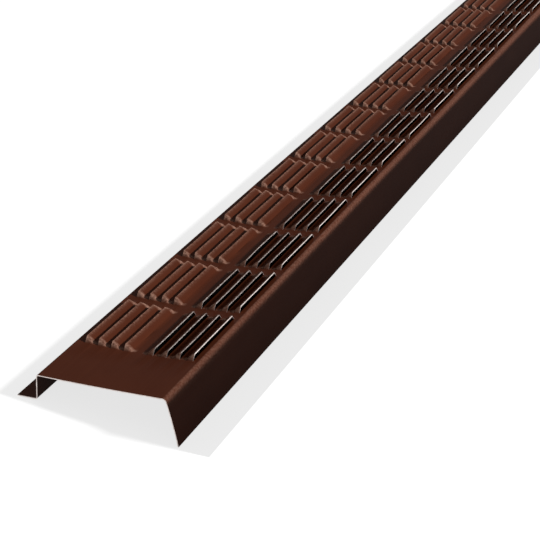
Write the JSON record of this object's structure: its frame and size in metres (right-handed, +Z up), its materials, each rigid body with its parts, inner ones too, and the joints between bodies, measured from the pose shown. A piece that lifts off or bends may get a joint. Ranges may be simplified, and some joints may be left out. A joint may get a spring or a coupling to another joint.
{
  "type": "continuous soffit vent",
  "caption": "Long thin metal vent strip with a louvered face, a stepped nailing leg along one side and a down leg along the other.",
  "frame": {"origin": "centre of the strip's length and width, on the level floor it rests on", "axes": "+Y along the strip, away from the cut end with the longer plain length; +X across it, from the nailing leg to the down leg; +Z up, on the louvered side"},
  "size_m": [0.0838, 2.4384, 0.0257],
  "materials": {
    "painted_sheet": "satin dark brown baked paint, bare metal at the cut edges"
  },
  "bodies": {
    "root": {"vent_strip": "painted_sheet"}
  },
  "joints": []
}
